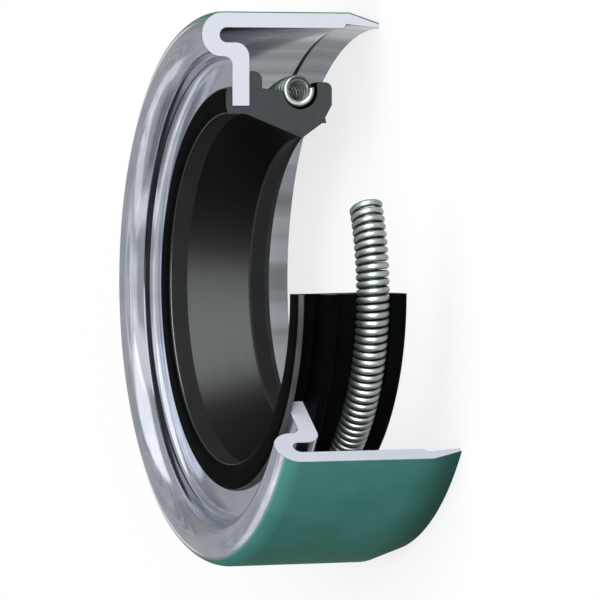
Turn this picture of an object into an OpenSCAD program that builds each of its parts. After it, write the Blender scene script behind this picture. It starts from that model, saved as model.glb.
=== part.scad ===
// Radial shaft seal, cut open so that its section can be seen.
// A pressed and folded sheet-steel case carries a bonded rubber lip, and a close-wound coil
// spring lies in the lip's groove. A thin sealing coat covers the outside of the case.
// The origin is on the shaft's axis, in the plane of the lip's sealing edge. +Z points to the
// folded front of the seal, and the open rim is at the bottom. All lengths are in millimetres.
// A section is drawn with the radius along X and the height along Y, and is turned about Z.
// Every piece starts at the half plane of +X, where the seal is cut through.

/* [Overall] */
// Outside diameter over the coat
seal_od = 35; // [34.6:0.1:36]
// Height from the open rim to the top of the fold
seal_h = 12; // [11.8:0.05:13]
// Height of the sealing edge above the open rim
edge_h = 5.26; // [4.8:0.02:5.5]
// Angle of the case that is left, in degrees
case_sweep = 235.1; // [180:0.1:330]
// Angle of the lip that is left, in degrees
lip_sweep = 270.3; // [200:0.1:340]
// Angle at which the spring's free end stands, in degrees
spring_sweep = 296.5; // [200:0.1:350]

/* [Case] */
// Thickness of the outer wall
wall_t = 0.96; // [0.8:0.02:1.1]
// Width of the slot inside the fold
slot_w = 0.91; // [0.7:0.01:1.1]
// Thickness of the leg that returns from the fold
leg_t = 0.92; // [0.8:0.02:1.1]
// Thickness of the sheet over the nose of the fold
nose_t = 1.22; // [1:0.02:1.5]
// Depth of the flange's front face below the top of the fold
flange_drop = 2.04; // [1.9:0.02:2.3]
// Thickness of the flange
flange_t = 1.18; // [1:0.02:1.3]
// Diameter of the hole in the flange
flange_id = 23.08; // [22.6:0.02:23.6]
// Radius of the outer side of the bend above the flange
bend_outer_r = 0.95; // [0.6:0.05:1.05]
// Radius of the inner side of the bend above the flange
bend_inner_r = 0.53; // [0.2:0.01:0.6]
// Length of the lead-in chamfer at the open rim
chamfer_h = 2.02; // [1.5:0.02:2.2]
// Depth of the lead-in chamfer
chamfer_in = 0.66; // [0.5:0.02:0.7]
// Width of the flat rim
rim_w = 0.28; // [0.2:0.02:0.34]
// Height of the step inside the mouth
step_h = 2.22; // [2:0.02:2.6]
// Length of the step's slope
step_slope = 0.16; // [0.1:0.02:0.3]
// Thickness of the wall below the step
mouth_wall_t = 0.7; // [0.6:0.02:0.76]

/* [Coat] */
// Thickness of the sealing coat
coat_t = 0.06; // [0.04:0.01:0.1]
// Angle by which the coat wraps over the fold, in degrees
coat_wrap = 50; // [20:10:80]

/* [Lip] */
// Diameter of the sealing edge
edge_d = 19.1; // [18.6:0.05:19.4]
// Length of the narrow land on the sealing edge
edge_land = 0.16; // [0.1:0.02:0.3]
// Rubber thickness over the end of the flange
heel_t = 0.5; // [0.3:0.05:0.7]
// Length of the straight bore in the heel
heel_land = 1.17; // [0.9:0.01:1.3]
// Height of the bevel between the heel's bore and the front bead
heel_bevel_h = 0.17; // [0.1:0.01:0.3]
// Width of the bevel between the heel's bore and the front bead
heel_bevel_w = 0.46; // [0.3:0.02:0.6]
// Thickness of the front bead
front_bead_t = 0.44; // [0.3:0.02:0.6]
// Width of the front bead along the flange
front_bead_w = 1.23; // [1.1:0.01:1.4]
// Thickness of the back bead
back_bead_t = 0.84; // [0.7:0.02:0.9]
// Width of the back bead along the flange
back_bead_w = 2.2; // [2:0.02:2.4]
// Radius of the back bead's shoulder
back_bead_r = 0.58; // [0.4:0.02:0.66]
// Width of the membrane's root along the flange
root_w = 1.13; // [1:0.01:1.4]
// Rubber thickness between the sealing edge and the bottom of the groove
seat_t = 1.81; // [1.6:0.01:2.1]
// Room around the spring in its groove
groove_gap = 0.1; // [0.05:0.01:0.15]
// Angle by which the hook holds the spring past its lowest side, in degrees
groove_hold = 20; // [0:5:25]
// Thickness of the hook beside the groove
hook_t = 1; // [0.8:0.02:1.3]
// Height of the hook above the spring's circle
hook_rise = 0.55; // [0.45:0.05:0.7]
// Radius of the hook's outer shoulder
hook_r = 0.45; // [0.3:0.05:0.5]
// Width of the slope from the hook's face to the trim ridge
slope_w = 1.14; // [0.9:0.02:1.3]
// How far the trim ridge stands outside the sealing edge
trim_rise = 0.92; // [0.75:0.01:1.05]
// Depth of the trim ridge below the sealing edge
trim_drop = 1.68; // [1.5:0.02:1.8]
// Length of the trimmed band at the ridge
trim_band = 0.31; // [0.2:0.01:0.4]
// Depth of the notch beside the trim ridge
notch_depth = 0.08; // [0.04:0.01:0.12]
// Width of the notch beside the trim ridge
notch_w = 0.35; // [0.2:0.01:0.45]

/* [Spring] */
// Offset of the spring's circle from the sealing edge, towards the flange
spring_offset = 0.1; // [0:0.01:0.3]
// Outside diameter of the coil
coil_d = 2.1; // [1.9:0.05:2.3]
// Diameter of the wire
wire_d = 0.4; // [0.38:0.01:0.44]
// Room between two turns on the inner side of the ring
turn_gap = 0.04; // [0.02:0.01:0.08]

/* [Hidden] */
$fn = 180;

// Angle between two neighbouring points of an arc
arc_step = 10;
// Steps of wire in one turn of the coil, and corners of the wire's section
turn_steps = 8;
wire_sides = 5;
// Angle round the coil at which the wire's free end stops
end_phase = 180;

// Levels along the axis
rim_z = -edge_h;
top_z = rim_z + seal_h;
flange_front_z = top_z - flange_drop;
flange_back_z = flange_front_z - flange_t;
chamfer_z = rim_z + chamfer_h;
step_z = rim_z + step_h;

// Radii of the case
case_r = seal_od / 2 - coat_t;
wall_inner_r = case_r - wall_t;
leg_outer_r = wall_inner_r - slot_w;
leg_inner_r = leg_outer_r - leg_t;
flange_inner_r = flange_id / 2;
rim_outer_r = case_r - chamfer_in;
rim_inner_r = rim_outer_r - rim_w;
mouth_r = case_r - mouth_wall_t;

// Centres and radii of the case's bends, as [radius, height]
fold_r = (case_r - leg_inner_r) / 2;
fold_centre = [case_r - fold_r, top_z - fold_r];
slot_r = slot_w / 2;
slot_centre = [wall_inner_r - slot_r, top_z - nose_t - slot_r];
bend_outer_centre = [leg_outer_r - bend_outer_r, flange_back_z + bend_outer_r];
bend_inner_centre = [leg_inner_r - bend_inner_r, flange_front_z + bend_inner_r];

// Spring's circle and the groove around it
edge_r = edge_d / 2;
coil_r = (coil_d - wire_d) / 2;
groove_r = coil_d / 2 + groove_gap;
ring_r = edge_r + seat_t + groove_r;
ring_centre = [ring_r, spring_offset];
pitch = (wire_d + turn_gap) * ring_r / (ring_r - coil_r);
pitch_angle = pitch / ring_r * 180 / PI;
wire_angle = wire_d / 2 / ring_r * 180 / PI;

// Lip
heel_r = flange_inner_r - heel_t;
front_bead_z = flange_front_z + front_bead_t;
heel_top_z = front_bead_z - heel_bevel_h;
back_bead_z = flange_back_z - back_bead_t;
back_bead_top_r = flange_inner_r + back_bead_w;
root_r = flange_inner_r + root_w;
hook_top_r = ring_r + hook_rise;
hook_face_z = spring_offset - groove_r - hook_t;
hook_lip_z = spring_offset - groove_r - groove_gap;
trim_r = edge_r + trim_rise;

// Points of an arc about a centre, where angle 0 points away from the shaft and 90 points up
function arc(centre, radius, from, to) =
    let (count = max(1, ceil(abs(to - from) / arc_step)))
    [for (i = [0 : count])
        let (angle = from + (to - from) * i / count)
        centre + radius * [cos(angle), sin(angle)]];

// Points over the fold, from the outer wall as far as an angle
function over_fold(radius, angle) =
    [for (a = [0 : arc_step : angle]) fold_centre + radius * [cos(a), sin(a)]];

// Points in reverse order
function back(points) = [for (i = [len(points) - 1 : -1 : 0]) points[i]];

// Outer wall, fold, return leg and flange, pressed from one sheet
module case_section() {
    polygon(concat(
        [[rim_inner_r, rim_z],
         [rim_outer_r, rim_z],
         [case_r, chamfer_z]],
        over_fold(fold_r, 180),
        arc(bend_inner_centre, bend_inner_r, 0, -90),
        [[flange_inner_r, flange_front_z],
         [flange_inner_r, flange_back_z]],
        arc(bend_outer_centre, bend_outer_r, -90, 0),
        arc(slot_centre, slot_r, 180, 0),
        [[wall_inner_r, step_z + step_slope],
         [mouth_r, step_z]]
    ));
}

// Coat over the chamfer, the outer wall and the shoulder of the fold
module coat_section() {
    case_side = concat(
        [[rim_outer_r, rim_z],
         [case_r, chamfer_z]],
        over_fold(fold_r, coat_wrap)
    );
    open_side = concat(
        [[rim_outer_r + coat_t, rim_z],
         [case_r + coat_t, chamfer_z]],
        over_fold(fold_r + coat_t, coat_wrap)
    );
    polygon(concat(open_side, back(case_side)));
}

// Beads that grip the flange, with the heel's bore inside them
function heel_points() = concat(
    [[heel_r, heel_top_z - heel_land],
     [heel_r, heel_top_z],
     [heel_r + heel_bevel_w, front_bead_z]],
    arc([flange_inner_r + front_bead_w - front_bead_t, flange_front_z], front_bead_t, 90, 0),
    [[flange_inner_r, flange_front_z],
     [flange_inner_r, flange_back_z],
     [back_bead_top_r, flange_back_z]],
    arc([back_bead_top_r - back_bead_r, back_bead_z + back_bead_r], back_bead_r, 0, -90),
    [[root_r, back_bead_z]]
);

// Groove for the spring, and the hook that keeps the spring in it
function groove_points() = concat(
    arc(ring_centre, groove_r, 90, 270 + groove_hold),
    [[hook_top_r, hook_lip_z]],
    arc([hook_top_r - hook_r, hook_face_z + hook_r], hook_r, 0, -90)
);

// Trim ridge on the lubricant side, and the two cones that meet in the sealing edge
function edge_points() = [
    [trim_r + slope_w, hook_face_z],
    [trim_r + notch_w, notch_depth - trim_drop],
    [trim_r, -trim_drop],
    [trim_r - notch_depth / 4, trim_band - trim_drop],
    [edge_r, -edge_land / 2],
    [edge_r, edge_land / 2]
];

// Middle of the wire after a number of steps, as [azimuth, angle round the coil]
wire_steps = floor((spring_sweep - 2 * wire_angle) / pitch_angle * turn_steps);
function wire_place(step) =
    let (left = (wire_steps - step) / turn_steps)
    [spring_sweep - wire_angle - left * pitch_angle, end_phase - left * 360];

// One ring of points round the wire, square to the helix
function wire_ring(step) =
    let (
        azimuth = wire_place(step)[0],
        phase = wire_place(step)[1],
        outward = [cos(azimuth), sin(azimuth), 0],
        forward = [-sin(azimuth), cos(azimuth), 0],
        up = [0, 0, 1],
        spoke = cos(phase) * up + sin(phase) * outward,
        turning = cos(phase) * outward - sin(phase) * up,
        lead = atan(pitch / (2 * PI * coil_r)),
        side = cos(lead) * forward - sin(lead) * turning,
        middle = ring_r * outward + spring_offset * up + coil_r * spoke
    )
    [for (i = [0 : wire_sides - 1])
        let (angle = 360 * i / wire_sides)
        middle + wire_d / 2 * (cos(angle) * spoke + sin(angle) * side)];

// Index of a point in the list of rings
function wire_point(step, i) = step * wire_sides + i % wire_sides;

module metal_case() {
    color("lightsteelblue")
        rotate_extrude(angle = case_sweep)
            case_section();
}

module outer_coat() {
    color("seagreen")
        rotate_extrude(angle = case_sweep)
            coat_section();
}

module sealing_lip() {
    color("darkslategray")
        rotate_extrude(angle = lip_sweep)
            polygon(concat(heel_points(), groove_points(), edge_points()));
}

module garter_spring() {
    points = [for (step = [0 : wire_steps]) each wire_ring(step)];
    quads = [for (step = [0 : wire_steps - 1]) for (i = [0 : wire_sides - 1])
        [wire_point(step, i), wire_point(step + 1, i), wire_point(step + 1, i + 1), wire_point(step, i + 1)]];
    halves = [for (q = quads) each [[q[0], q[1], q[2]], [q[0], q[2], q[3]]]];
    first_end = [for (i = [0 : wire_sides - 1]) i];
    last_end = back([for (i = [0 : wire_sides - 1]) wire_point(wire_steps, i)]);
    color("silver")
        polyhedron(points = points, faces = concat(halves, [first_end, last_end]));
}

metal_case();
outer_coat();
sealing_lip();
garter_spring();
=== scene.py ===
"""Looks of a cut-open radial shaft seal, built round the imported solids.

The seal stands on its open rim, with its axis along Z. All sizes in the classes are in
millimetres and degrees, and a section is given as (radius, height) points.
"""

import logging
import math
from dataclasses import dataclass
from enum import Enum
from typing import Any, Callable, Sequence, Union

import bmesh
import bpy
from mathutils import Matrix, Vector

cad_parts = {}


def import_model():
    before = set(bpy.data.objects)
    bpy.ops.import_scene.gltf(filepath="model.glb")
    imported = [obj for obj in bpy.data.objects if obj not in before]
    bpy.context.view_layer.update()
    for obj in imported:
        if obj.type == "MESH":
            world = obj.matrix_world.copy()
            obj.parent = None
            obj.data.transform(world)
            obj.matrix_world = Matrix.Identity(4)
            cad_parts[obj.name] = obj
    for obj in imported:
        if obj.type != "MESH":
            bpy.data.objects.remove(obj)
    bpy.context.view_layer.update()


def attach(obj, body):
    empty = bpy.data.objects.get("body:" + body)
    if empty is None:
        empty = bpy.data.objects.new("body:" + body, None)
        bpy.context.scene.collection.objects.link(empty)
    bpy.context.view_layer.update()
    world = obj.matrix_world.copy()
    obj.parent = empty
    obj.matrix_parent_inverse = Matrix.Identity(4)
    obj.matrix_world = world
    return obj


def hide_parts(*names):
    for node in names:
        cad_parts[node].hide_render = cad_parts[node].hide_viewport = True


LOG = logging.getLogger("shaft_seal")
MM = 0.001

# Corners below this many degrees are shaded smooth, and points closer than this many millimetres are one
SMOOTH_BELOW = 12.0
MERGE_BELOW = 0.0005

# A cut face looks along the turn with at least this cosine
ALONG_TURN = 0.999

# Largest steps along a section's arcs, in degrees
FOLD_STEP = 4.0
GROOVE_STEP = 6.0
BEND_STEP = 7.5
SLOT_STEP = 10.0

# Where soft noise counts as dark and as light
NOISE_SPAN = (0.3, 0.7)

Point = tuple[float, float]
Span = tuple[float, float]
Place = tuple[float, float, float]
Colour = tuple[float, float, float]
Zone = tuple["Finish", Callable[[float, float], bool]]


class Body(Enum):
    """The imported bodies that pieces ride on."""

    ROOT = "root"


class Slot(Enum):
    """The record's material slots."""

    CASE = "case_steel"
    COAT = "green_coat"
    RUBBER = "black_rubber"
    SPRING = "spring_steel"


def arc(centre: Point, radius: float, start: float, end: float, step: float = 5.0) -> list[Point]:
    """Points of an arc in the section's plane.

    Args:
        centre: The arc's centre.
        radius: The arc's radius.
        start: The first angle, where 0 points away from the shaft and 90 points up.
        end: The last angle.
        step: The largest angle between two points.

    Returns:
        The points from the first angle to the last.
    """
    count = max(1, math.ceil(abs(end - start) / step))
    angles = [math.radians(start + (end - start) * i / count) for i in range(count + 1)]
    return [(centre[0] + radius * math.cos(a), centre[1] + radius * math.sin(a)) for a in angles]


def soft_corner(before: Point, corner: Point, after: Point, reach: float, steps: int = 8) -> list[Point]:
    """Points of a small round in place of a sharp corner.

    Args:
        before: A point on the line into the corner.
        corner: The corner.
        after: A point on the line out of it.
        reach: How far from the corner the round starts and ends.
        steps: How many steps it has.

    Returns:
        The points along the round.
    """
    middle = Vector(corner)
    start = middle + (Vector(before) - middle).normalized() * reach
    end = middle + (Vector(after) - middle).normalized() * reach
    shares = [i / steps for i in range(steps + 1)]
    return [tuple(start * (1 - s) ** 2 + middle * (2 * s * (1 - s)) + end * s**2) for s in shares]


class Value:
    """One output of a node, with operators that add the nodes of a sum or a product."""

    def __init__(self, tree: "ShaderTree", socket: bpy.types.NodeSocket) -> None:
        """Wraps a socket of a tree."""
        self.tree = tree
        self.socket = socket

    def _math(self, operation: str, *others: Union["Value", float], clamp: bool = False) -> "Value":
        """Adds one Math node on this value and others."""
        return self.tree.add("ShaderNodeMath", {"operation": operation, "use_clamp": clamp}, self, *others)

    def __add__(self, other: Union["Value", float]) -> "Value":
        """The sum."""
        return self._math("ADD", other)

    __radd__ = __add__

    def __sub__(self, other: Union["Value", float]) -> "Value":
        """The difference."""
        return self._math("SUBTRACT", other)

    def __rsub__(self, other: float) -> "Value":
        """The difference from a number."""
        return self.tree.add("ShaderNodeMath", {"operation": "SUBTRACT"}, other, self)

    def __mul__(self, other: Union["Value", float]) -> "Value":
        """The product."""
        return self._math("MULTIPLY", other)

    __rmul__ = __mul__

    def __truediv__(self, other: Union["Value", float]) -> "Value":
        """The quotient."""
        return self._math("DIVIDE", other)

    def absolute(self) -> "Value":
        """The value without its sign."""
        return self._math("ABSOLUTE")

    def root(self) -> "Value":
        """The square root."""
        return self._math("SQRT")

    def angle_from(self, across: "Value") -> "Value":
        """The angle of the point (across, this), in radians."""
        return self._math("ARCTAN2", across)

    def ramp(self, low: float, high: float) -> "Value":
        """A smooth step.

        Args:
            low: Where it leaves 0.
            high: Where it reaches 1.

        Returns:
            The step's height at this value.
        """
        return self.tree.add(
            "ShaderNodeMapRange",
            {"interpolation_type": "SMOOTHSTEP"},
            **{"Value": self, "From Min": low, "From Max": high, "To Min": 0.0, "To Max": 1.0},
        )


class ShaderTree:
    """The nodes of one material or of the world."""

    def __init__(self, tree: bpy.types.NodeTree) -> None:
        """Starts an empty tree."""
        self.tree = tree
        tree.nodes.clear()

    def add(
        self,
        kind: str,
        settings: dict[str, Any],
        *inputs: Any,
        first: int = 0,
        out: Union[int, str] = 0,
        **named: Any,
    ) -> Value:
        """Adds a node and joins its sockets.

        Args:
            kind: The node's type name.
            settings: Attributes of the node, set before its sockets.
            inputs: Values or links of sockets in order.
            first: Index of the socket that the first of them goes to.
            out: Index or name of the output that is returned.
            named: Values or links of sockets by name.

        Returns:
            The chosen output.
        """
        node = self.tree.nodes.new(kind)
        for key, value in settings.items():
            setattr(node, key, value)
        for key, value in [*enumerate(inputs, first), *named.items()]:
            self.join(node.inputs[key], value)
        return Value(self, node.outputs[out]) if node.outputs else Value(self, node.inputs[0])

    def join(self, socket: bpy.types.NodeSocket, value: Any) -> None:
        """Links a value to a socket, or sets the socket's own number or colour.

        Args:
            socket: The socket of a node.
            value: A value of this tree, a number, a vector or a colour.
        """
        if isinstance(value, Value):
            self.tree.links.new(value.socket, socket)
        elif isinstance(value, tuple) and len(value) == 3 and socket.type == "RGBA":
            socket.default_value = (*value, 1.0)
        else:
            socket.default_value = value

    def place(self) -> tuple[Value, Value, Value, Value]:
        """Object coordinates in millimetres.

        Returns:
            The three coordinates, and the vector that they make.
        """
        vector = self.add("ShaderNodeTexCoord", {}, out="Object")
        scaled = self.add("ShaderNodeVectorMath", {"operation": "SCALE"}, vector, Scale=1 / MM)
        parts = [self.add("ShaderNodeSeparateXYZ", {}, scaled, out=i) for i in range(3)]
        return parts[0], parts[1], parts[2], scaled

    def around(self, stretch: float, across: float, detail: float = 2.0) -> Value:
        """Soft noise in marks that run round the axis.

        Args:
            stretch: Cells per full turn.
            across: Cells per millimetre across the marks.
            detail: How many finer layers the noise has.

        Returns:
            The noise, between about 0.3 and 0.7.
        """
        x, y, z, _ = self.place()
        radius = (x * x + y * y).root()
        reach = stretch / (2 * math.pi)
        vector = self.add("ShaderNodeCombineXYZ", {}, x / radius * reach, y / radius * reach, z * across)
        return self.add(
            "ShaderNodeTexNoise",
            {"noise_dimensions": "4D"},
            Vector=vector,
            W=radius * across,
            Scale=1.0,
            Detail=detail,
            Roughness=0.5,
        )

    def noise(self, vector: Value, scale: float, detail: float = 2.0, roughness: float = 0.5) -> Value:
        """Soft noise.

        Args:
            vector: The place.
            scale: Cells per unit of the place.
            detail: How many finer layers the noise has.
            roughness: How strong each layer is beside the one before.

        Returns:
            The noise, between about 0.3 and 0.7.
        """
        return self.add(
            "ShaderNodeTexNoise", {}, Vector=vector, Scale=scale, Detail=detail, Roughness=roughness
        )

    def mix(self, share: Union[Value, float], start: Any, end: Any) -> Value:
        """A colour between two, which are the Mix node's sockets 6 and 7."""
        return self.add("ShaderNodeMix", {"data_type": "RGBA"}, start, end, first=6, out=2, Factor=share)

    def bump(self, height: Value, strength: float, distance: float) -> Value:
        """A bumped normal, with the distance in millimetres."""
        return self.add("ShaderNodeBump", {}, Strength=strength, Distance=distance * MM, Height=height)

    def surface(self, **sockets: Any) -> None:
        """Ends the tree in a Principled shader with these sockets."""
        named = {key.replace("_", " "): value for key, value in sockets.items()}
        self.output(self.add("ShaderNodeBsdfPrincipled", {}, **named))

    def output(self, shader: Value, kind: str = "ShaderNodeOutputMaterial") -> None:
        """Joins a shader to the tree's output."""
        self.add(kind, {}, Surface=shader)


@dataclass(frozen=True)
class Finish:
    """What every finish has: a name, and a method that makes its material."""

    name: str

    def paint(self, tree: ShaderTree) -> None:
        """Builds the finish's nodes in an empty tree."""
        raise NotImplementedError

    def material(self) -> bpy.types.Material:
        """The finish's material, made once.

        Returns:
            The material, new or found by its name.
        """
        found = bpy.data.materials.get(self.name)
        if found is None:
            found = bpy.data.materials.new(self.name)
            found.use_nodes = True
            self.paint(ShaderTree(found.node_tree))
        return found


@dataclass(frozen=True)
class PolishedSteel(Finish):
    """Bright drawn sheet, with faint marks round the axis."""

    colour: Colour = (0.7, 0.735, 0.815)
    shade: Colour = (0.62, 0.655, 0.735)
    roughness: float = 0.095
    cloud_scale: float = 0.35
    cloud_span: Span = (0.35, 0.65)
    marks_rough: float = 0.045
    marks_round: float = 9.0
    marks_across: float = 14.0

    def paint(self, tree: ShaderTree) -> None:
        """Builds the finish's nodes.

        Args:
            tree: The material's empty tree.
        """
        _, _, _, place = tree.place()
        cloud = tree.noise(place, self.cloud_scale, detail=3.0).ramp(*self.cloud_span)
        lines = tree.around(self.marks_round, self.marks_across)
        tree.surface(
            Base_Color=tree.mix(cloud, self.shade, self.colour),
            Metallic=1.0,
            Roughness=lines * self.marks_rough + self.roughness,
            Normal=tree.bump(lines, strength=0.04, distance=0.01),
        )


@dataclass(frozen=True)
class ShadedInsideSteel(Finish):
    """Steel inside the case, a darker grey than the bright outside as painted shade, with patches along the
    axis, a dark band of painted shadow at the foot of the step, and darker painted shade past it towards the
    mouth.
    """

    step_top: float
    # Painted shade: the inside is a darker grey than the polished outside.
    colour: Colour = (0.43, 0.455, 0.49)
    shade: Colour = (0.22, 0.235, 0.26)
    roughness: float = 0.1
    # Painted shade: the wall past the step towards the rim is darker still.
    shaded_mouth: Colour = (0.33, 0.35, 0.38)
    mouth_shade: Colour = (0.185, 0.197, 0.216)
    patches_round: float = 46.0
    patch_span: Span = (0.37, 0.63)
    lines_round: float = 900.0
    lines_rough: float = 0.08
    # Painted shadow: a near-black band of this width below the step's top, with soft edges, and rougher.
    shadow_line_width: float = 0.44
    shadow_line_edge: float = 0.03
    shadow_line_rough: float = 0.3
    shadow_line_colour: Colour = (0.012, 0.012, 0.014)

    def paint(self, tree: ShaderTree) -> None:
        """Builds the finish's nodes.

        Args:
            tree: The material's empty tree.
        """
        _, _, z, _ = tree.place()
        patches = tree.around(self.patches_round, across=0.01, detail=3.0).ramp(*self.patch_span)
        lines = tree.around(self.lines_round, across=0.2)
        # Painted shadow: the dark band along the foot of the step.
        foot = self.step_top - self.shadow_line_width
        past_foot = z.ramp(foot - self.shadow_line_edge, foot + self.shadow_line_edge)
        line = past_foot * (1.0 - z.ramp(self.step_top - self.shadow_line_edge, self.step_top))
        # Painted shade: darker past the foot of the step, towards the mouth.
        shaded_mouth = tree.mix(patches, self.mouth_shade, self.shaded_mouth)
        behind = tree.mix(patches, self.shade, self.colour)
        tree.surface(
            Base_Color=tree.mix(line, tree.mix(past_foot, shaded_mouth, behind), self.shadow_line_colour),
            Metallic=1.0,
            Roughness=lines * self.lines_rough + line * self.shadow_line_rough + self.roughness,
            Normal=tree.bump(lines, strength=0.03, distance=0.01),
        )


@dataclass(frozen=True)
class SawnSteel(Finish):
    """Matt, pale face of the cut sheet, with fine grinding lines."""

    colour: Colour = (0.7, 0.735, 0.82)
    shade: Colour = (0.665, 0.698, 0.78)
    roughness: float = 0.5
    lines_rough: float = 0.12
    stretch: tuple[float, float, float] = (1.5, 1.5, 18.0)

    def paint(self, tree: ShaderTree) -> None:
        """Builds the finish's nodes.

        Args:
            tree: The material's empty tree.
        """
        _, _, _, place = tree.place()
        stretched = tree.add("ShaderNodeMapping", {}, Vector=place, Scale=self.stretch)
        lines = tree.noise(stretched, scale=1.0, detail=3.0, roughness=0.6)
        tree.surface(
            Base_Color=tree.mix(lines.ramp(*NOISE_SPAN), self.shade, self.colour),
            Roughness=lines * self.lines_rough + self.roughness,
            Normal=tree.bump(lines, strength=0.04, distance=0.01),
        )


@dataclass(frozen=True)
class SealingCoat(Finish):
    """Thin green film, paler at its thin end as a dipped coat is, with painted shade that darkens it towards
    the rim.
    """

    fold_centre: Point
    wrap: float
    colour: Colour = (0.067, 0.225, 0.189)
    shade: Colour = (0.054, 0.196, 0.162)
    # Painted shade: the colour that the coat darkens to towards the rim, between these heights.
    rim: Colour = (0.03, 0.093, 0.08)
    rim_painted_shade_reach: Span = (-6.0, -1.5)
    thin: Colour = (0.15, 0.38, 0.3)
    thin_share: float = 0.55
    thin_reach: Span = (9.0, 3.0)
    bare: Colour = (0.26, 0.28, 0.3)
    bare_reach: Span = (2.5, 1.0)
    roughness: float = 0.5
    cloud_rough: float = 0.03
    grain_rough: float = 0.06
    gloss: float = 0.01

    def paint(self, tree: ShaderTree) -> None:
        """Builds the finish's nodes.

        Args:
            tree: The material's empty tree.
        """
        x, y, z, place = tree.place()
        cloud = tree.noise(place, scale=0.35).ramp(*NOISE_SPAN)
        grain = tree.noise(place, scale=9.0)
        out = (x * x + y * y).root() - self.fold_centre[0]
        turned = (z - self.fold_centre[1]).angle_from(out)
        end, tip = [
            turned.ramp(*(math.radians(self.wrap - angle) for angle in reach))
            for reach in (self.thin_reach, self.bare_reach)
        ]
        # Painted shade: the coat darkens towards the rim.
        body = tree.mix(z.ramp(*self.rim_painted_shade_reach), self.rim, tree.mix(cloud, self.shade, self.colour))
        tree.surface(
            Base_Color=tree.mix(tip, tree.mix(end * self.thin_share, body, self.thin), self.bare),
            Roughness=cloud * self.cloud_rough + grain * self.grain_rough + self.roughness,
            Normal=tree.bump(grain, strength=0.06, distance=0.02),
            Specular_IOR_Level=self.gloss,
        )


@dataclass(frozen=True)
class MouldedRubber(Finish):
    """Black rubber as it leaves the mould, with a faint grain and marks round the axis."""

    colour: Colour = (0.0026, 0.003, 0.003)
    shade: Colour = (0.0018, 0.0021, 0.0022)
    roughness: float = 0.36
    gloss: float = 0.006
    marks_rough: float = 0.08
    grain_rough: float = 0.05

    def paint(self, tree: ShaderTree) -> None:
        """Builds the finish's nodes.

        Args:
            tree: The material's empty tree.
        """
        _, _, _, place = tree.place()
        cloud = tree.noise(place, scale=0.6, detail=3.0).ramp(*NOISE_SPAN)
        lines = tree.around(stretch=12.0, across=10.0)
        grain = tree.noise(place, scale=14.0)
        tree.surface(
            Base_Color=tree.mix(cloud, self.shade, self.colour),
            Roughness=lines * self.marks_rough + grain * self.grain_rough + self.roughness,
            Normal=tree.bump(lines * 0.5 + grain * 0.5, strength=0.05, distance=0.02),
            Specular_IOR_Level=self.gloss,
        )


@dataclass(frozen=True)
class CutRubber(Finish):
    """Dark grey face of the cut rubber."""

    colour: Colour = (0.053, 0.0605, 0.064)
    shade: Colour = (0.046, 0.0525, 0.056)
    roughness: float = 0.62
    grain_rough: float = 0.1
    gloss: float = 0.1

    def paint(self, tree: ShaderTree) -> None:
        """Builds the finish's nodes.

        Args:
            tree: The material's empty tree.
        """
        _, _, _, place = tree.place()
        cloud = tree.noise(place, scale=1.6, detail=4.0, roughness=0.6).ramp(*NOISE_SPAN)
        grain = tree.noise(place, scale=20.0)
        tree.surface(
            Base_Color=tree.mix(cloud, self.shade, self.colour),
            Roughness=grain * self.grain_rough + self.roughness,
            Normal=tree.bump(grain, strength=0.08, distance=0.01),
            Specular_IOR_Level=self.gloss,
        )


@dataclass(frozen=True)
class DrawnWire(Finish):
    """Spring wire, in its own colour where the turns stand out, with painted shade that darkens the grooves
    between them except near its cut ends.
    """

    ring: Point
    ends: Span
    # Painted shade: the colour of the grooves between the turns.
    groove: Colour = (0.03, 0.034, 0.033)
    colour: Colour = (0.312, 0.34, 0.326)
    shade: Colour = (0.24, 0.262, 0.251)
    roughness: float = 0.38
    grain_rough: float = 0.1
    coil_radius: float = 0.84
    groove_shade_reach: Span = (0.02, 0.15)
    end_reach: Span = (0.15, 0.4)

    def paint(self, tree: ShaderTree) -> None:
        """Builds the finish's nodes.

        Args:
            tree: The material's empty tree.
        """
        x, y, z, place = tree.place()
        cloud = tree.noise(place, scale=2.5, detail=3.0).ramp(*NOISE_SPAN)
        grain = tree.noise(place, scale=30.0)
        out = (x * x + y * y).root() - self.ring[0]
        up = z - self.ring[1]
        # Painted shade in the grooves between the turns, lifted near the ring's two cut ends.
        proud = ((out * out + up * up).root() - self.coil_radius).absolute().ramp(*self.groove_shade_reach)
        groove_shading = 1.0 - proud
        for end in self.ends:
            groove_shading = groove_shading * (1.0 - self.close_to(x, y, end))
        tree.surface(
            Base_Color=tree.mix(groove_shading, tree.mix(cloud, self.shade, self.colour), self.groove),
            Metallic=1.0,
            Roughness=grain * self.grain_rough + self.roughness,
            Normal=tree.bump(grain, strength=0.04, distance=0.01),
        )

    def close_to(self, x: Value, y: Value, angle: float) -> Value:
        """1 at a cut of the ring, falling to 0 behind the first turn.

        Args:
            x: The first of the place's coordinates.
            y: The second.
            angle: The cut's angle round the axis.

        Returns:
            How close the place is.
        """
        across, along = math.cos(math.radians(angle)), math.sin(math.radians(angle))
        behind = (y * across - x * along).absolute().ramp(*self.end_reach)
        return (1.0 - behind) * (x * across + y * along).ramp(0.0, 1.0)


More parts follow.
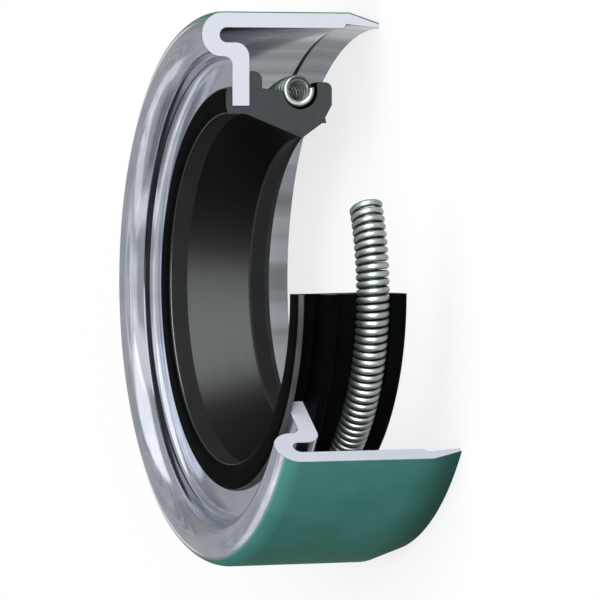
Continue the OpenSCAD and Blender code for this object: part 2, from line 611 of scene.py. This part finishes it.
BRIGHT = PolishedSteel("case_bright")
SAWN = SawnSteel("case_cut")
MOULDED = MouldedRubber("rubber_moulded")
CONE = MouldedRubber(
    "rubber_cone", (0.0012, 0.0014, 0.0014), (0.0008, 0.001, 0.001), roughness=0.33, gloss=0.2
)
CORNER = MouldedRubber(
    "rubber_corner", (0.003, 0.0032, 0.003), (0.002, 0.0022, 0.002), roughness=0.22, gloss=0.6
)
LAND = MouldedRubber(
    "rubber_land", (0.024, 0.0256, 0.0266), (0.02, 0.0214, 0.0226), roughness=0.6, gloss=0.03
)
SLOPE = MouldedRubber(
    "rubber_slope", (0.038, 0.0402, 0.0416), (0.032, 0.034, 0.0355), roughness=0.6, gloss=0.03
)
# Painted highlight: a lighter grey on the side of the front bead.
BEAD_HIGHLIGHT = MouldedRubber(
    "rubber_bead_highlight", (0.06, 0.062, 0.067), (0.036, 0.038, 0.042), roughness=0.4, gloss=0.1
)
SLICED = CutRubber("rubber_cut")


def deselect() -> None:
    """Leaves no object selected."""
    if bpy.context.mode != "OBJECT":
        bpy.ops.object.mode_set(mode="OBJECT")
    bpy.ops.object.select_all(action="DESELECT")


def select_faces(piece: bpy.types.Object, wanted: Callable[[bmesh.types.BMFace], bool]) -> int:
    """Selects the faces of a piece in edit mode that a test picks, and no others.

    Args:
        piece: The piece, in edit mode.
        wanted: The test of one face.

    Returns:
        How many faces are selected.
    """
    bpy.ops.mesh.select_mode(type="FACE")
    bpy.ops.mesh.select_all(action="DESELECT")
    mesh = bmesh.from_edit_mesh(piece.data)
    count = 0
    for face in mesh.faces:
        if wanted(face):
            face.select_set(True)
            count += 1
    bmesh.update_edit_mesh(piece.data)
    return count


def trace_section(name: str, outline: Sequence[Point]) -> bpy.types.Object:
    """Traces a closed section in the half plane of +X, as one face.

    Args:
        name: The piece's name.
        outline: The section's points as (radius, height).

    Returns:
        The piece, in edit mode, with the face selected.
    """
    deselect()
    radius, height = outline[0]
    bpy.ops.mesh.primitive_plane_add(size=MM, location=(radius * MM, 0.0, height * MM))
    piece = bpy.context.active_object
    piece.name = piece.data.name = name
    bpy.ops.object.transform_apply(location=True, rotation=True, scale=True)
    bpy.ops.object.mode_set(mode="EDIT")
    bpy.ops.mesh.select_mode(type="VERT")
    bpy.ops.mesh.select_all(action="SELECT")
    bpy.ops.mesh.merge(type="CENTER")
    for before, after in zip(outline, outline[1:]):
        step = ((after[0] - before[0]) * MM, 0.0, (after[1] - before[1]) * MM)
        bpy.ops.mesh.extrude_vertices_move(TRANSFORM_OT_translate={"value": step})
    bpy.ops.mesh.select_all(action="DESELECT")
    mesh = bmesh.from_edit_mesh(piece.data)
    for vertex in mesh.verts:
        vertex.select_set(len(vertex.link_edges) == 1)
    bmesh.update_edit_mesh(piece.data)
    bpy.ops.mesh.edge_face_add()
    bpy.ops.mesh.select_all(action="SELECT")
    bpy.ops.mesh.edge_face_add()
    return piece


def close_mesh() -> None:
    """Merges doubled points and turns all faces outwards, on the piece in edit mode."""
    bpy.ops.mesh.select_all(action="SELECT")
    bpy.ops.mesh.remove_doubles(threshold=MERGE_BELOW * MM)
    bpy.ops.mesh.normals_make_consistent(inside=False)


def turn_section(sweep: float, steps: int) -> None:
    """Spins the traced and selected face about the axis into a closed solid.

    Args:
        sweep: The angle that is turned.
        steps: How many steps the turn has.
    """
    bpy.ops.mesh.spin(
        steps=steps, dupli=False, angle=math.radians(sweep), center=(0.0, 0.0, 0.0), axis=(0.0, 0.0, -1.0)
    )
    close_mesh()


def is_cut(sweep: float) -> Callable[[bmesh.types.BMFace], bool]:
    """A test for the flat faces at the two ends of a turned piece.

    Args:
        sweep: The angle of the far end.

    Returns:
        The test of one face.
    """
    turned = math.radians(sweep)
    ends = [Vector((0.0, -1.0, 0.0)), Vector((-math.sin(turned), math.cos(turned), 0.0))]

    def test(face: bmesh.types.BMFace) -> bool:
        """True for a large flat face that looks along the turn."""
        return len(face.verts) > 4 and any(face.normal.dot(end) > ALONG_TURN for end in ends)

    return test


def soften_cut(piece: bpy.types.Object, sweep: float, width: float) -> None:
    """Breaks the sharp edges round the two cut faces.

    Args:
        piece: The piece, in edit mode.
        sweep: The angle of the far end.
        width: The width of the broken edge.
    """
    if select_faces(piece, is_cut(sweep)) != 2:
        raise ValueError(f"{piece.name} doesn't have two cut faces")
    bpy.ops.mesh.region_to_loop()
    bpy.ops.mesh.bevel(offset=width * MM, segments=2, affect="EDGES", clamp_overlap=True)


def dress(
    piece: bpy.types.Object,
    skin: Finish,
    cut: Finish,
    sweep: float,
    zones: Sequence[Zone] = (),
    smooth_below: float = SMOOTH_BELOW,
) -> None:
    """Gives a turned piece its finishes.

    Args:
        piece: The piece, in edit mode.
        skin: The finish all round.
        cut: The finish of the two flat cut faces.
        sweep: The angle of the far end.
        zones: Other finishes, each with a test of the radius and height where it lies.
        smooth_below: The sharpest corner, in degrees, that is shaded smooth.
    """
    piece.data.materials.clear()
    for finish in (skin, cut, *(zone[0] for zone in zones)):
        piece.data.materials.append(finish.material())
    select_faces(piece, is_cut(sweep))
    mesh = bmesh.from_edit_mesh(piece.data)
    for face in mesh.faces:
        middle = face.calc_center_median() / MM
        radius = math.hypot(middle.x, middle.y)
        found = [i for i, zone in enumerate(zones, 2) if zone[1](radius, middle.z)]
        face.material_index = 1 if face.select else found[0] if found else 0
    bmesh.update_edit_mesh(piece.data)
    bpy.ops.object.mode_set(mode="OBJECT")
    bpy.ops.object.shade_smooth_by_angle(angle=math.radians(smooth_below))


def hand_over(piece: bpy.types.Object, node: str) -> None:
    """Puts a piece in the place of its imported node.

    Args:
        piece: The finished piece.
        node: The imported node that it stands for.
    """
    deselect()
    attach(piece, Body.ROOT.value)
    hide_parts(node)
    LOG.info("%s: %d faces, replaces %s", piece.name, len(piece.data.polygons), node)


@dataclass
class MetalCase:
    """The case, pressed from one sheet: outer wall, fold, return leg and flange."""

    outer_radius: float = 17.44
    rim: float = -5.26
    top: float = 6.74
    wall: float = 0.96
    slot: float = 0.91
    leg: float = 0.92
    nose: float = 1.22
    flange_front: float = 4.7
    flange_back: float = 3.52
    flange_inner: float = 11.54
    bend_outer: float = 0.95
    bend_inner: float = 0.53
    chamfer_height: float = 2.02
    chamfer_depth: float = 0.66
    rim_width: float = 0.28
    step_height: float = 2.22
    step_slope: float = 0.16
    mouth_wall: float = 0.7
    rim_skin: float = 0.02
    sweep: float = 235.1
    steps: int = 320
    broken_edge: float = 0.03

    @property
    def fold_radius(self) -> float:
        """Outer radius of the fold."""
        return (self.wall + self.slot + self.leg) / 2

    @property
    def fold_centre(self) -> Point:
        """Centre of the fold."""
        return self.outer_radius - self.fold_radius, self.top - self.fold_radius

    @property
    def step_top(self) -> float:
        """Height where the step in the wall ends."""
        return self.rim + self.step_height + self.step_slope

    @property
    def rim_outer(self) -> float:
        """Outer radius of the rim, past the chamfer."""
        return self.outer_radius - self.chamfer_depth

    def section(self) -> list[Point]:
        """The case's section.

        Returns:
            Its points as (radius, height), from the rim over the fold to the flange and back.
        """
        inner_wall = self.outer_radius - self.wall
        leg_outer = inner_wall - self.slot
        leg_inner = leg_outer - self.leg
        slot_centre = (inner_wall - self.slot / 2, self.top - self.nose - self.slot / 2)
        outer_centre = (leg_outer - self.bend_outer, self.flange_back + self.bend_outer)
        inner_centre = (leg_inner - self.bend_inner, self.flange_front + self.bend_inner)
        return [
            (self.rim_outer - self.rim_width, self.rim),
            (self.rim_outer, self.rim),
            (self.outer_radius, self.rim + self.chamfer_height),
            *arc(self.fold_centre, self.fold_radius, 0.0, 180.0, FOLD_STEP),
            *arc(inner_centre, self.bend_inner, 0.0, -90.0, BEND_STEP),
            (self.flange_inner, self.flange_front),
            (self.flange_inner, self.flange_back),
            *arc(outer_centre, self.bend_outer, -90.0, 0.0, BEND_STEP),
            *arc(slot_centre, self.slot / 2, 180.0, 0.0, SLOT_STEP),
            (inner_wall, self.step_top),
            (self.outer_radius - self.mouth_wall, self.rim + self.step_height),
        ]

    def is_inside(self, radius: float, height: float) -> bool:
        """True where the sheet's skin looks into the case.

        Args:
            radius: The place's distance from the axis.
            height: The place's height.

        Returns:
            Whether the darker inside finish, painted shade, lies there.
        """
        if radius > self.rim_outer - self.rim_skin:
            return False
        leg_middle = self.outer_radius - self.wall - self.slot - self.leg / 2
        in_slot = radius > leg_middle and height < self.top - self.nose / 2
        return in_slot or height < (self.flange_front + self.flange_back) / 2

    def build(self) -> bpy.types.Object:
        """Builds the case and hands it over.

        Returns:
            The finished piece.
        """
        piece = trace_section("case_sheet", self.section())
        turn_section(self.sweep, self.steps)
        soften_cut(piece, self.sweep, self.broken_edge)
        # The inside of the sheet gets the darker finish, which is painted shade.
        inside = ShadedInsideSteel("case_inside_shaded", self.step_top)
        dress(piece, BRIGHT, SAWN, self.sweep, [(inside, self.is_inside)])
        hand_over(piece, "metal_case")
        return piece


@dataclass
class OuterCoat:
    """The thin sealing coat over the outside of the case."""

    case: MetalCase
    thickness: float = 0.06
    wrap: float = 50.0
    smooth_below: float = 30.0
    blend: float = 1.2

    def section(self) -> list[Point]:
        """The coat's section.

        Returns:
            Its points as (radius, height). Two on the open side bound the soft shading of its corner.
        """
        case = self.case
        outside = case.outer_radius + self.thickness
        chamfer = case.rim + case.chamfer_height
        slant = case.chamfer_depth * self.blend / case.chamfer_height
        case_side = [
            (case.rim_outer, case.rim),
            (case.outer_radius, chamfer),
            *arc(case.fold_centre, case.fold_radius, 0.0, self.wrap, FOLD_STEP),
        ]
        open_side = [
            (case.rim_outer + self.thickness, case.rim),
            (outside - slant, chamfer - self.blend),
            (outside, chamfer),
            (outside, chamfer + self.blend),
            *arc(case.fold_centre, case.fold_radius + self.thickness, 0.0, self.wrap, FOLD_STEP),
        ]
        return [*open_side, *reversed(case_side)]

    def build(self) -> bpy.types.Object:
        """Builds the coat and hands it over.

        Returns:
            The finished piece.
        """
        film = SealingCoat("coat_film", self.case.fold_centre, self.wrap)
        piece = trace_section("coat_skin", self.section())
        turn_section(self.case.sweep, self.case.steps)
        dress(piece, film, film, self.case.sweep, smooth_below=self.smooth_below)
        hand_over(piece, "outer_coat")
        return piece


@dataclass
class SealingLip:
    """The rubber lip, moulded round the end of the flange."""

    case: MetalCase
    edge: float = 9.55
    edge_land: float = 0.16
    heel: float = 0.5
    heel_land: float = 1.17
    heel_bevel_height: float = 0.17
    heel_bevel_width: float = 0.46
    front_bead: float = 0.44
    front_bead_width: float = 1.23
    back_bead: float = 0.84
    back_bead_width: float = 2.2
    back_bead_shoulder: float = 0.58
    root_width: float = 1.13
    ring: Point = (12.51, 0.1)
    groove: float = 1.15
    groove_gap: float = 0.1
    groove_hold: float = 20.0
    hook: float = 1.0
    hook_rise: float = 0.55
    hook_shoulder: float = 0.45
    slope_width: float = 1.14
    trim_radius: float = 10.47
    trim_drop: float = 1.68
    trim_band: float = 0.31
    notch_depth: float = 0.08
    notch_width: float = 0.35
    # Height of the painted highlight on the side of the front bead.
    bead_side: float = 0.33
    soft_reach: float = 0.1
    sweep: float = 270.3
    steps: int = 320
    broken_edge: float = 0.02

    @property
    def heel_radius(self) -> float:
        """Radius of the heel's bore."""
        return self.case.flange_inner - self.heel

    @property
    def heel_top(self) -> float:
        """Height of the corner between the heel's bore and its bevel."""
        return self.case.flange_front + self.front_bead - self.heel_bevel_height

    @property
    def bead_middle(self) -> float:
        """Radius of the middle of the front bead's round."""
        return self.case.flange_inner + self.front_bead_width - self.front_bead

    def section(self) -> list[Point]:
        """The lip's section.

        Returns:
            Its points as (radius, height), from the heel over both beads and the groove to the sealing edge.
        """
        case = self.case
        bead_front = case.flange_front + self.front_bead
        bead_back = case.flange_back - self.back_bead
        bead_out = case.flange_inner + self.back_bead_width
        hook_out = self.ring[0] + self.hook_rise
        hook_face = self.ring[1] - self.groove - self.hook
        hook_lip = self.ring[1] - self.groove - self.groove_gap
        back_centre = (bead_out - self.back_bead_shoulder, bead_back + self.back_bead_shoulder)
        hook_centre = (hook_out - self.hook_shoulder, hook_face + self.hook_shoulder)
        heel_foot = (self.heel_radius, self.heel_top - self.heel_land)
        heel_head = (self.heel_radius, self.heel_top)
        bevel_end = (self.heel_radius + self.heel_bevel_width, bead_front)
        bead_start = (self.bead_middle, bead_front)
        return [
            heel_foot,
            *soft_corner(heel_foot, heel_head, bevel_end, self.soft_reach),
            *soft_corner(heel_head, bevel_end, bead_start, self.soft_reach, 4),
            *arc((self.bead_middle, case.flange_front), self.front_bead, 90.0, 0.0, BEND_STEP),
            (case.flange_inner, case.flange_front),
            (case.flange_inner, case.flange_back),
            (bead_out, case.flange_back),
            *arc(back_centre, self.back_bead_shoulder, 0.0, -90.0, BEND_STEP),
            (case.flange_inner + self.root_width, bead_back),
            *arc(self.ring, self.groove, 90.0, 270.0 + self.groove_hold, GROOVE_STEP),
            (hook_out, hook_lip),
            *arc(hook_centre, self.hook_shoulder, 0.0, -90.0, BEND_STEP),
            (self.trim_radius + self.slope_width, hook_face),
            (self.trim_radius + self.notch_width, self.notch_depth - self.trim_drop),
            (self.trim_radius, -self.trim_drop),
            (self.trim_radius - self.notch_depth / 4, self.trim_band - self.trim_drop),
            (self.edge, -self.edge_land / 2),
            (self.edge, self.edge_land / 2),
        ]

    def zones(self) -> list[Zone]:
        """The finishes that lie only on a part of the lip.

        Returns:
            Each finish with its test of the radius and height, the first that fits being used.
        """
        return [
            (CONE, self.is_cone),
            (CORNER, self.is_corner),
            (LAND, self.is_bore),
            (SLOPE, self.is_slope),
            (BEAD_HIGHLIGHT, self.is_bead_highlight),
        ]

    def is_cone(self, radius: float, height: float) -> bool:
        """True on the smooth cone between the heel's bore and the sealing edge."""
        return self.edge_land < height < self.heel_top - self.heel_land and radius < self.heel_radius

    def is_corner(self, radius: float, height: float) -> bool:
        """True on the soft corner between the heel's bore and its bevel."""
        return abs(height - self.heel_top) < self.soft_reach and radius < self.heel_radius + self.soft_reach

    def is_bore(self, radius: float, height: float) -> bool:
        """True on the matt band of the heel's bore."""
        return height > 0 and radius < self.heel_radius + self.broken_edge

    def is_slope(self, radius: float, height: float) -> bool:
        """True on the matt slope past the sealing edge."""
        return height < 0 and radius < self.trim_radius

    def is_bead_highlight(self, radius: float, height: float) -> bool:
        """True on the side of the front bead, below its top, where a highlight is painted."""
        front = self.case.flange_front
        return radius > self.bead_middle and front < height < front + self.bead_side

    def build(self) -> bpy.types.Object:
        """Builds the lip and hands it over.

        Returns:
            The finished piece.
        """
        piece = trace_section("lip_rubber", self.section())
        turn_section(self.sweep, self.steps)
        soften_cut(piece, self.sweep, self.broken_edge)
        dress(piece, MOULDED, SLICED, self.sweep, self.zones())
        hand_over(piece, "sealing_lip")
        return piece


@dataclass
class GarterSpring:
    """The close-wound coil spring in the lip's groove, as one length of wire."""

    ring: Point
    coil: float = 2.1
    wire: float = 0.437
    gap: float = 0.003
    sweep: float = 296.5
    start_phase: float = 165.0
    end_phase: float = 180.0
    points_per_turn: int = 24
    bevel_steps: int = 3
    smooth_below: float = 50.0

    def centreline(self) -> list[Vector]:
        """The middle of the wire.

        Returns:
            Its points from the cut to the free end, in metres.
        """
        coil_radius = (self.coil - self.wire) / 2
        pitch = (self.wire + self.gap) * self.ring[0] / (self.ring[0] - coil_radius)
        pitch_angle = math.degrees(pitch / self.ring[0])
        wire_angle = math.degrees(self.wire / 2 / self.ring[0])
        part_turn = (self.end_phase - self.start_phase) % 360.0 / 360.0
        wound = self.sweep - 2 * wire_angle
        turns = math.floor(wound / pitch_angle - part_turn) + part_turn
        pitch_angle = wound / turns
        count = round(turns * self.points_per_turn)
        line = []
        for i in range(count + 1):
            left = (count - i) / self.points_per_turn
            azimuth = math.radians(self.sweep - wire_angle - left * pitch_angle)
            phase = math.radians(self.end_phase - left * 360.0)
            radius = self.ring[0] + coil_radius * math.sin(phase)
            height = self.ring[1] + coil_radius * math.cos(phase)
            line.append(Vector((radius * math.cos(azimuth), radius * math.sin(azimuth), height)) * MM)
        return line

    def build(self) -> bpy.types.Object:
        """Winds the wire and hands it over.

        Returns:
            The finished piece.
        """
        deselect()
        line = self.centreline()
        curve = bpy.data.curves.new("spring_wire", "CURVE")
        curve.dimensions = "3D"
        curve.bevel_depth = self.wire / 2 * MM
        curve.bevel_resolution = self.bevel_steps
        curve.use_fill_caps = True
        spline = curve.splines.new("POLY")
        spline.points.add(len(line) - 1)
        for point, place in zip(spline.points, line):
            point.co = (*place, 1.0)
        piece = bpy.data.objects.new("spring_coil", curve)
        bpy.context.scene.collection.objects.link(piece)
        bpy.context.view_layer.objects.active = piece
        piece.select_set(True)
        bpy.ops.object.convert(target="MESH")
        piece = bpy.context.active_object
        piece.name = piece.data.name = "spring_coil"
        bpy.ops.object.mode_set(mode="EDIT")
        close_mesh()
        bpy.ops.object.mode_set(mode="OBJECT")
        piece.data.materials.clear()
        piece.data.materials.append(DrawnWire("spring_wire", self.ring, (0.0, self.sweep)).material())
        bpy.ops.object.shade_smooth_by_angle(angle=math.radians(self.smooth_below))
        hand_over(piece, "garter_spring")
        return piece


@dataclass(frozen=True)
class Panel:
    """A soft light panel on the studio's dome, placed by compass and height.

    Azimuth 0 is along +Y and 90 along +X.
    """

    azimuth: float
    elevation: float
    half_width: float
    half_height: float
    soft: float
    level: float

    def axes(self) -> tuple[Vector, Vector, Vector]:
        """Where the panel lies on the dome.

        Returns:
            Its direction, and its directions across and up.
        """
        turn, rise = math.radians(self.azimuth), math.radians(self.elevation)
        out = Vector((math.sin(turn) * math.cos(rise), math.cos(turn) * math.cos(rise), math.sin(rise)))
        across = Vector((math.cos(turn), -math.sin(turn), 0.0))
        return out, across, across.cross(out)


@dataclass(frozen=True)
class SoftLamp:
    """A soft lamp that looks at the seal, with its place and sides in millimetres."""

    name: str
    place: Place
    width: float
    height: float
    power: float
    mirrored: bool = False
    tint: Colour = (1.0, 1.0, 1.0)

    def hang(self, receivers: Sequence[bpy.types.Object] = ()) -> None:
        """Hangs the lamp.

        Args:
            receivers: The only pieces that it lights, or none for all of them.
        """
        lamp = bpy.data.lights.new(self.name, "AREA")
        lamp.shape = "RECTANGLE"
        lamp.size = self.width * MM
        lamp.size_y = self.height * MM
        lamp.energy = self.power
        lamp.color = self.tint
        holder = bpy.data.objects.new(self.name, lamp)
        holder.location = Vector(self.place) * MM
        holder.rotation_euler = (-holder.location).to_track_quat("-Z", "Y").to_euler()
        holder.visible_glossy = self.mirrored
        holder.visible_diffuse = not self.mirrored
        bpy.context.scene.collection.objects.link(holder)
        if receivers:
            lit = bpy.data.collections.new(f"{self.name}_lit")
            for piece in receivers:
                lit.objects.link(piece)
            holder.light_linking.receiver_collection = lit


@dataclass(frozen=True)
class Viewpoint:
    """The camera at the photograph's viewpoint, rolled so that +X is up in the picture."""

    place: Place = (10.726, -287.149, 109.268)
    target: Place = (-0.7628, 0.0, 0.1117)
    roll: float = 0.0517
    sensor_width: float = 36.0
    lens: float = 290.41
    near: float = 0.01
    far: float = 50.0

    def build(self) -> None:
        """Makes the camera, with its clipping distances in metres."""
        data = bpy.data.cameras.new("viewpoint")
        data.sensor_width = self.sensor_width
        data.lens = self.lens
        data.clip_start = self.near
        data.clip_end = self.far
        camera = bpy.data.objects.new("viewpoint", data)
        ahead = (Vector(self.target) - Vector(self.place)).normalized()
        right = ahead.cross(Vector((1.0, 0.0, 0.0))).normalized()
        level = Matrix((right, right.cross(ahead), -ahead)).transposed()
        turn = level @ Matrix.Rotation(math.radians(self.roll), 3, "Z")
        camera.matrix_world = Matrix.Translation(Vector(self.place) * MM) @ turn.to_4x4()
        bpy.context.scene.collection.objects.link(camera)
        bpy.context.scene.camera = camera


@dataclass
class Studio:
    """Floor, dome, lamps and camera."""

    case: MetalCase
    floor_half: float = 6000.0
    floor_glow: float = 0.76
    floor_white: Colour = (0.9, 0.9, 0.9)
    dome_level: float = 0.42
    dome_below: float = 0.04
    horizon: Span = (-0.06, 0.0)
    panel_front: Span = (0.0, 0.1)
    ring_count: float = 34.0
    ring_depth: float = 1.0
    ring_reach: Span = (0.03, 0.3)
    panels: tuple[Panel, ...] = (
        Panel(94.0, 47.0, 28.0, 24.0, 8.0, 0.8),
        Panel(143.0, 28.0, 15.0, 30.0, 12.0, 0.42),
        Panel(-92.0, 55.0, 28.0, 11.0, 6.0, 0.42),
        Panel(-42.0, 34.0, 10.0, 15.0, 8.0, 0.4),
        Panel(-140.0, 24.0, 9.0, 26.0, 8.0, 0.38),
        Panel(180.0, 56.0, 14.0, 20.0, 10.0, 0.3),
        Panel(-93.0, 4.0, 26.0, 22.0, 12.0, -0.2),
        Panel(30.0, 8.0, 20.0, 20.0, 14.0, -0.12),
        Panel(0.0, 90.0, 18.0, 18.0, 16.0, 0.3),
    )
    plain_lamps: tuple[SoftLamp, ...] = (
        SoftLamp("overhead", (0.0, 0.0, 600.0), 500.0, 500.0, power=1.0),
        SoftLamp("key", (70.0, -455.0, 190.0), 260.0, 200.0, power=1.85),
    )
    sheen: SoftLamp = SoftLamp(
        "sheen", (226.0, -404.0, 188.0), 900.0, 200.0, power=9.2, mirrored=True, tint=(0.93, 1.0, 0.985)
    )

    def build_floor(self) -> None:
        """The plain white floor under the rim."""
        deselect()
        middle = (0.0, 0.0, self.case.rim * MM)
        bpy.ops.mesh.primitive_plane_add(size=2 * self.floor_half * MM, location=middle)
        floor = bpy.context.active_object
        floor.name = "studio_floor"
        material = bpy.data.materials.new("studio_floor")
        material.use_nodes = True
        tree = ShaderTree(material.node_tree)
        kinds = ("Camera", "Glossy", "Transmission")
        seen = [tree.add("ShaderNodeLightPath", {}, out=f"Is {kind} Ray") for kind in kinds]
        white = tree.add("ShaderNodeBsdfDiffuse", {}, Color=self.floor_white)
        glow = tree.add("ShaderNodeEmission", {}, Color=(1.0, 1.0, 1.0), Strength=1.0)
        share = (seen[0] + seen[1] + seen[2]) * self.floor_glow
        tree.output(tree.add("ShaderNodeMixShader", {}, share, white, glow))
        floor.data.materials.append(material)
        floor.visible_diffuse = False

    def build_dome(self) -> None:
        """The dome that the bright parts mirror: an even grey with soft panels and faint rings."""
        world = bpy.data.worlds.new("studio_dome")
        bpy.context.scene.world = world
        world.use_nodes = True
        tree = ShaderTree(world.node_tree)
        look = tree.add("ShaderNodeTexCoord", {}, out="Generated")
        level: Any = self.dome_level
        for panel in self.panels:
            along, across, up = [
                tree.add("ShaderNodeVectorMath", {"operation": "DOT_PRODUCT"}, look, tuple(axis), out="Value")
                for axis in panel.axes()
            ]
            spread = self._edge(across / along, panel.half_width, panel.soft)
            rise = self._edge(up / along, panel.half_height, panel.soft)
            level = spread * rise * along.ramp(*self.panel_front) * panel.level + level
        height = tree.add("ShaderNodeSeparateXYZ", {}, look, out=2)
        flat = {"noise_dimensions": "1D"}
        rings = tree.add("ShaderNodeTexNoise", flat, W=height * self.ring_count, Scale=1.0, Detail=1.0)
        level = (rings - 0.5) * height.ramp(*self.ring_reach) * self.ring_depth + level
        level = height.ramp(*self.horizon) * (level - self.dome_below) + self.dome_below
        background = tree.add("ShaderNodeBackground", {}, Color=(1.0, 1.0, 1.0), Strength=level)
        tree.output(background, "ShaderNodeOutputWorld")

    @staticmethod
    def _edge(slope: Value, half: float, soft: float) -> Value:
        """The share of a panel's light across it.

        Args:
            slope: The tangent of the angle from its middle.
            half: Half of its angle, in degrees.
            soft: The angle over which it fades, in degrees.

        Returns:
            1 within the panel, falling to 0 at its border.
        """
        inner = math.tan(math.radians(max(half - soft / 2, 0.0)))
        outer = math.tan(math.radians(half + soft / 2))
        return 1.0 - slope.absolute().ramp(inner, outer)

    def build(self, glossed: Sequence[bpy.types.Object]) -> None:
        """Builds the whole studio.

        Args:
            glossed: The dark and fine pieces, which have a soft strip lamp of their own to show their form.
        """
        bpy.context.scene.view_settings.view_transform = "Standard"
        Viewpoint().build()
        self.build_floor()
        self.build_dome()
        for lamp in self.plain_lamps:
            lamp.hang()
        self.sheen.hang(glossed)
        LOG.info("studio: floor, dome with %d panels, %d lamps", len(self.panels), len(self.plain_lamps) + 1)


def main() -> None:
    """Loads the frame, builds the studio and dresses every piece."""
    logging.basicConfig(level=logging.INFO, format="%(message)s")
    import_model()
    case = MetalCase()
    lip = SealingLip(case)
    case.build()
    OuterCoat(case).build()
    glossed = [lip.build(), GarterSpring(lip.ring).build()]
    Studio(case).build(glossed)


if __name__ == "__main__":
    main()
